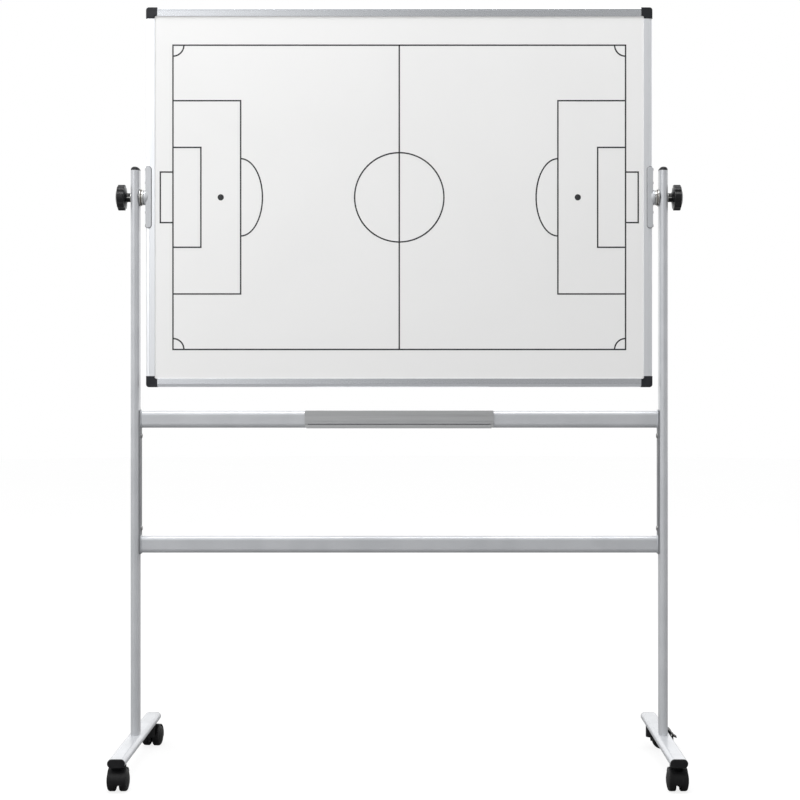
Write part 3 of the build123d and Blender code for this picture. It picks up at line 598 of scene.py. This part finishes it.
@dataclass
class Welds:
    """The painted weld beads round the ends of the two crossbars."""

    wardrobe: Wardrobe
    section: tuple[tuple[float, float], ...] = (
        (0.0, 0.0025), (-0.0007, 0.0023), (-0.0015, 0.0017), (-0.0022, 0.0009), (-0.0027, 0.0),
        (-0.0024, -0.0006), (0.0003, -0.0006),
    )
    ripple: float = 0.0005
    ripple_size: float = 0.0032
    ripple_cuts: int = 3

    def build(self) -> None:
        """Models one bead and copies it to both ends of both bars."""
        low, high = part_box("upper_crossbar")
        pattern = self.bead(Vector(high) - Vector(low))
        for bar in ("upper_crossbar", "lower_crossbar"):
            low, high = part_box(bar)
            for side, end in (("left", low[0]), ("right", high[0])):
                place = (end, 0.0, (low[2] + high[2]) / 2)
                self.place(pattern, f"{bar}_{side}_weld", place, -1.0 if side == "left" else 1.0)
        bpy.data.objects.remove(pattern)

    def bead(self, size: Vector) -> bpy.types.Object:
        """Models a rippled bead round a tube's end, with the plate's face at x = 0.

        Args:
            size: The tube's length, depth and height.

        Returns:
            The bead.
        """
        shape = OvalBead(self.section)
        bead = shape.ring(size.y / 2, size.z / 2)
        bpy.ops.mesh.subdivide(number_cuts=self.ripple_cuts, smoothness=0.0)
        shape.finish()
        cloud = bpy.data.textures.new("weld_ripple", "CLOUDS")
        cloud.noise_scale = self.ripple_size
        ripple = bead.modifiers.new("ripple", "DISPLACE")
        ripple.texture = cloud
        ripple.texture_coords = "LOCAL"
        ripple.strength = self.ripple
        bpy.ops.object.modifier_apply(modifier=ripple.name)
        return bead

    def place(self, pattern: bpy.types.Object, name: str, place: Triple, turn: float) -> None:
        """Copies the bead to one end of a bar.

        Args:
            pattern: The bead to copy.
            name: The copy's name.
            place: The middle of the bar's end.
            turn: 1 for a right-hand end, -1 for a left-hand one, which is mirrored.
        """
        bpy.ops.object.select_all(action="DESELECT")
        bead = pattern.copy()
        bead.data = pattern.data.copy()
        bead.name = name
        bpy.context.scene.collection.objects.link(bead)
        bead.location = place
        bead.scale = (turn, 1.0, 1.0)
        bead.select_set(True)
        bpy.context.view_layer.objects.active = bead
        bpy.ops.object.transform_apply(location=True, rotation=True, scale=True)
        bpy.ops.object.mode_set(mode="EDIT")
        bpy.ops.mesh.select_all(action="SELECT")
        bpy.ops.mesh.normals_make_consistent(inside=False)
        bpy.ops.object.mode_set(mode="OBJECT")
        self.wardrobe.wear(bead, WELD_PAINT)
        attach(bead, "stand")
        log.info("%s placed", name)


@dataclass
class PaintedShadeStrips:
    """Dark strips of painted shade: a strip in the tray's lowest groove and a bead round each side
    bracket.
    """

    wardrobe: Wardrobe
    strip_short: float = 0.0075
    strip_height: float = 0.0023
    strip_depth: float = 0.0016
    strip_round: float = 0.0004
    strip_round_steps: int = 3
    strip_smooth_angle: float = 35.0
    strip_lift: float = 0.0081
    hook_depth: float = 0.004
    section: tuple[tuple[float, float], ...] = (
        (-0.0026, 0.0013), (0.0006, 0.0013), (0.0009, 0.0009), (0.0009, -0.0004),
        (-0.0026, -0.0004),
    )

    def build(self) -> None:
        """Models the strip and the four beads."""
        self.strip()
        for side, outwards in (("left", -1.0), ("right", 1.0)):
            for face, ahead in (("front", -1.0), ("back", 1.0)):
                self.bead(side, outwards, face, ahead)

    def strip(self) -> None:
        """Models the dark strip in the groove above the tray's lip, painted shade for the shadow in
        the trough.
        """
        low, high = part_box("pen_tray")
        size = (high[0] - low[0] - 2 * self.strip_short, self.strip_depth, self.strip_height)
        plate_face = high[1] - self.hook_depth
        bpy.ops.object.select_all(action="DESELECT")
        bpy.ops.mesh.primitive_cube_add(
            size=1.0, location=(0.0, plate_face, low[2] + self.strip_lift), scale=size
        )
        strip = bpy.context.active_object
        bpy.ops.object.transform_apply(location=True, rotation=True, scale=True)
        bpy.ops.object.mode_set(mode="EDIT")
        bpy.ops.mesh.select_all(action="SELECT")
        bpy.ops.mesh.bevel(
            offset=self.strip_round, segments=self.strip_round_steps, affect="EDGES"
        )
        bpy.ops.mesh.select_all(action="SELECT")
        bpy.ops.mesh.normals_make_consistent(inside=False)
        bpy.ops.object.mode_set(mode="OBJECT")
        bpy.ops.object.shade_smooth_by_angle(angle=radians(self.strip_smooth_angle))
        self.settle(strip, "pen_tray_strip", "stand")

    def bead(self, side: str, outwards: float, face: str, ahead: float) -> None:
        """Models the dark bead round one flange of a bracket, ending at the stile's outer edge:
        painted shadow of the bracket on the stile.

        Args:
            side: The bracket's side.
            outwards: 1 for the right side, -1 for the left.
            face: The board's face that it lies on.
            ahead: -1 for the front face, 1 for the back.
        """
        low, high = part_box(f"{side}_bracket")
        stile_low, stile_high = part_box(f"{side}_stile")
        shape = OvalBead(self.section)
        bead = shape.ring((high[0] - low[0]) / 2, (high[2] - low[2]) / 2)
        bpy.ops.object.mode_set(mode="OBJECT")
        bead.rotation_euler = (0.0, 0.0, ahead * pi / 2)
        bead.location = ((low[0] + high[0]) / 2, ahead * stile_high[1], (low[2] + high[2]) / 2)
        bpy.ops.object.transform_apply(location=True, rotation=True, scale=True)
        bpy.ops.object.mode_set(mode="EDIT")
        bpy.ops.mesh.select_all(action="SELECT")
        edge = stile_high[0] if outwards > 0 else stile_low[0]
        bpy.ops.mesh.bisect(
            plane_co=(edge, 0.0, 0.0), plane_no=(outwards, 0.0, 0.0),
            use_fill=True, clear_outer=True,
        )
        shape.finish()
        self.settle(bead, f"{side}_bracket_{face}_seal", "board")

    def settle(self, piece: bpy.types.Object, name: str, body: str) -> None:
        """Names a piece, gives it its dark painted-shade finish and says what it rides on.

        Args:
            piece: The piece.
            name: Its name.
            body: The body that it moves with.
        """
        piece.name = name
        self.wardrobe.wear(piece, PAINTED_SHADE_RUBBER)
        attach(piece, body)
        log.info("%s placed", name)


@dataclass
class ClampKnobs:
    """The two clamp knobs with their inserts and thrust washers."""

    wardrobe: Wardrobe

    def dress(self) -> None:
        """Dresses both sides."""
        for side in ("left", "right"):
            self.wardrobe.dress(KNOB_PLASTIC, f"{side}_knob")
            self.wardrobe.dress(WASHER_STEEL, f"{side}_knob_insert", f"{side}_thrust_washer")


@dataclass
class Casters:
    """The four twin-wheel casters."""

    wardrobe: Wardrobe
    braked: tuple[str, ...] = ("rear_left", "rear_right")
    free: tuple[str, ...] = ("front_left", "front_right")

    def dress(self) -> None:
        """Dresses every caster, and the pedals of the braked ones."""
        for name in (*self.free, *self.braked):
            self.wardrobe.dress(HOOD_PLASTIC, f"{name}_caster_hood")
            self.wardrobe.dress(BRIGHT_STEEL, f"{name}_caster_pins")
            self.wardrobe.dress(WHEEL_PLASTIC, f"{name}_left_wheel", f"{name}_right_wheel")
        for name in self.braked:
            self.wardrobe.dress(HOOD_PLASTIC, f"{name}_brake_pedal")


@dataclass(frozen=True)
class Softbox:
    """A soft rectangular light: where it stands, what it faces, its size and its watts."""

    name: str
    place: Triple
    aim: Triple
    size: tuple[float, float]
    power: float

    def build(self) -> None:
        """Adds the light to the scene."""
        data = bpy.data.lights.new(self.name, "AREA")
        data.shape = "RECTANGLE"
        data.size, data.size_y = self.size
        data.energy = self.power
        lamp = bpy.data.objects.new(self.name, data)
        lamp.location = self.place
        facing = Vector(self.aim) - Vector(self.place)
        lamp.rotation_euler = facing.to_track_quat("-Z", "Y").to_euler()
        bpy.context.scene.collection.objects.link(lamp)


@dataclass
class Studio:
    """A pale floor, soft light from the left, from above and all round, and the camera."""

    floor_radius: float = 14.0
    floor_vertices: int = 128
    floor_depth: float = 0.05
    floor_edge: float = 0.02
    floor_edge_steps: int = 3
    camera_place: Triple = (0.0589, -4.0224, 0.9518)
    lens: float = 76.11
    shift: tuple[float, float] = (-0.0301, -0.0420)
    clip_end: float = 60.0
    glow_share: float = 0.82
    bounce_cut: float = 0.7
    side_light: tuple[tuple[float, float], ...] = field(
        default=(
            (-180, 1.5), (-110, 1.4), (-60, 1.05), (-12, 1.2), (-7, 0.98), (-3.5, 0.54), (0, 0.4),
            (4, 0.36), (9, 0.46), (20, 0.4), (38, 0.7), (60, 1.05), (110, 1.4), (180, 1.5),
        )
    )
    softboxes: tuple[Softbox, ...] = (
        Softbox("key_softbox", (-2.5, -2.7, 2.9), (0.0, 0.0, 1.1), (2.0, 2.0), 60.0),
        Softbox("overhead_softbox", (-0.1, -1.2, 5.4), (0.0, 0.0, 0.6), (2.6, 1.4), 172.0),
    )
    height_light: tuple[tuple[float, float], ...] = field(
        default=(
            (-1.0, 0.6), (-0.1, 0.8), (0.0, 0.94), (0.2, 0.92), (0.3, 1.0), (0.6, 0.8), (1.0, 0.75),
        )
    )

    def build(self) -> None:
        """Makes the floor, the light and the camera."""
        self.floor()
        self.surroundings()
        for softbox in self.softboxes:
            softbox.build()
        self.camera()
        log.info("studio built")

    def floor(self) -> None:
        """Models a wide round floor with an eased edge."""
        bpy.ops.object.select_all(action="DESELECT")
        bpy.ops.mesh.primitive_circle_add(
            vertices=self.floor_vertices, radius=self.floor_radius, fill_type="NGON",
            location=(0, 0, 0),
        )
        floor = bpy.context.active_object
        floor.name = "studio_floor"
        bpy.ops.object.mode_set(mode="EDIT")
        bpy.ops.mesh.select_all(action="SELECT")
        drop = {"value": (0.0, 0.0, -self.floor_depth)}
        bpy.ops.mesh.extrude_region_move(TRANSFORM_OT_translate=drop)
        bpy.ops.mesh.select_all(action="SELECT")
        bpy.ops.mesh.normals_make_consistent(inside=False)
        bpy.ops.object.mode_set(mode="OBJECT")
        edge = floor.modifiers.new("eased_edge", "BEVEL")
        edge.width = self.floor_edge
        edge.segments = self.floor_edge_steps
        edge.limit_method = "ANGLE"
        bpy.ops.object.modifier_apply(modifier=edge.name)
        floor.data.materials.append(self.paper())

    def paper(self) -> bpy.types.Material:
        """Builds the floor's paper, which looks nearly shadowless and throws little light back.

        Returns:
            The material.
        """
        finish = Finish(
            "studio_paper", Effect.WIPED, (0.93, 0.93, 0.93), (0.915, 0.915, 0.915),
            roughness=0.75, fine=300.0, broad=0.6, relief=0.0001,
        )
        made = finish.material(Effects())
        sheet = NodeSheet(made.node_tree)
        surface = sheet.tree.nodes["Principled BSDF"].outputs["BSDF"]
        seen = sheet.add("ShaderNodeLightPath").outputs["Is Camera Ray"]
        glow = sheet.add("ShaderNodeEmission", {"Strength": 1.0}).outputs[0]
        dark = sheet.add("ShaderNodeBsdfDiffuse", {"Color": (0.0, 0.0, 0.0, 1.0)}).outputs[0]
        lit = {0: sheet.math("MULTIPLY", seen, self.glow_share), 1: surface, 2: glow}
        shown = sheet.add("ShaderNodeMixShader", lit).outputs[0]
        unseen = sheet.math("MULTIPLY", sheet.math("SUBTRACT", 1.0, seen), self.bounce_cut)
        result = sheet.add("ShaderNodeMixShader", {0: unseen, 1: shown, 2: dark}).outputs[0]
        sheet.join(result, sheet.tree.nodes["Material Output"].inputs["Surface"])
        return made

    def surroundings(self) -> None:
        """Makes the light all round: bright behind and at the sides, dim straight ahead."""
        world = bpy.data.worlds.new("studio_surround")
        world.use_nodes = True
        bpy.context.scene.world = world
        sheet = NodeSheet(world.node_tree)
        sheet.tree.nodes.clear()
        place = sheet.add("ShaderNodeTexCoord").outputs["Generated"]
        parts = sheet.add("ShaderNodeSeparateXYZ", {0: place}).outputs
        turn = sheet.math("ARCTAN2", parts["X"], sheet.math("MULTIPLY", parts["Y"], -1.0))
        along = sheet.math("MULTIPLY_ADD", turn, 0.5 / pi, 0.5)
        side = self.ramp(sheet, along, [(0.5 + a / 360, v) for a, v in self.side_light])
        lift = sheet.math("MULTIPLY_ADD", parts["Z"], 0.5, 0.5)
        height = self.ramp(sheet, lift, [(0.5 + z / 2, v) for z, v in self.height_light])
        level = sheet.math("MULTIPLY", side, height)
        seen = sheet.add("ShaderNodeLightPath").outputs["Is Camera Ray"]
        shown = sheet.blend(seen, level, (1.0, 1.0, 1.0, 1.0))
        light = sheet.add("ShaderNodeBackground", {"Color": shown, "Strength": 1.0})
        result = sheet.add("ShaderNodeOutputWorld")
        sheet.join(light.outputs[0], result.inputs["Surface"])

    @staticmethod
    def ramp(
        sheet: NodeSheet, value: Number, stops: list[tuple[float, float]]
    ) -> bpy.types.NodeSocket:
        """Turns a value into a level by a list of stops.

        Args:
            sheet: The tree being built.
            value: A value from 0 to 1.
            stops: Places and their levels, in order.

        Returns:
            The level.
        """
        curve = sheet.add("ShaderNodeFloatCurve", {"Value": value})
        points = curve.mapping.curves[0].points
        top = 2.0
        for place, level in stops[1:-1]:
            points.new(place, level / top)
        points[0].location = (stops[0][0], stops[0][1] / top)
        points[len(points) - 1].location = (stops[-1][0], stops[-1][1] / top)
        curve.mapping.update()
        return sheet.math("MULTIPLY", curve.outputs[0], top)

    def camera(self) -> None:
        """Places the camera in front of the board, level with its lower edge."""
        data = bpy.data.cameras.new("front_camera")
        data.lens = self.lens
        data.shift_x, data.shift_y = self.shift
        data.clip_end = self.clip_end
        camera = bpy.data.objects.new("front_camera", data)
        camera.location = self.camera_place
        camera.rotation_euler = (pi / 2, 0.0, 0.0)
        bpy.context.scene.collection.objects.link(camera)
        bpy.context.scene.camera = camera
        bpy.context.scene.view_settings.view_transform = "Standard"


def main() -> None:
    """Dresses the frame piece by piece, then builds the studio."""
    logging.basicConfig(level=logging.INFO, format="%(message)s")
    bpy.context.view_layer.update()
    wardrobe = Wardrobe()
    for assembly in (Board(wardrobe), Stand(wardrobe), ClampKnobs(wardrobe), Casters(wardrobe)):
        assembly.dress()
    Welds(wardrobe).build()
    # Dark strips of painted shade in the tray's groove and round the brackets.
    PaintedShadeStrips(wardrobe).build()
    Studio().build()


if __name__ == "__main__":
    main()
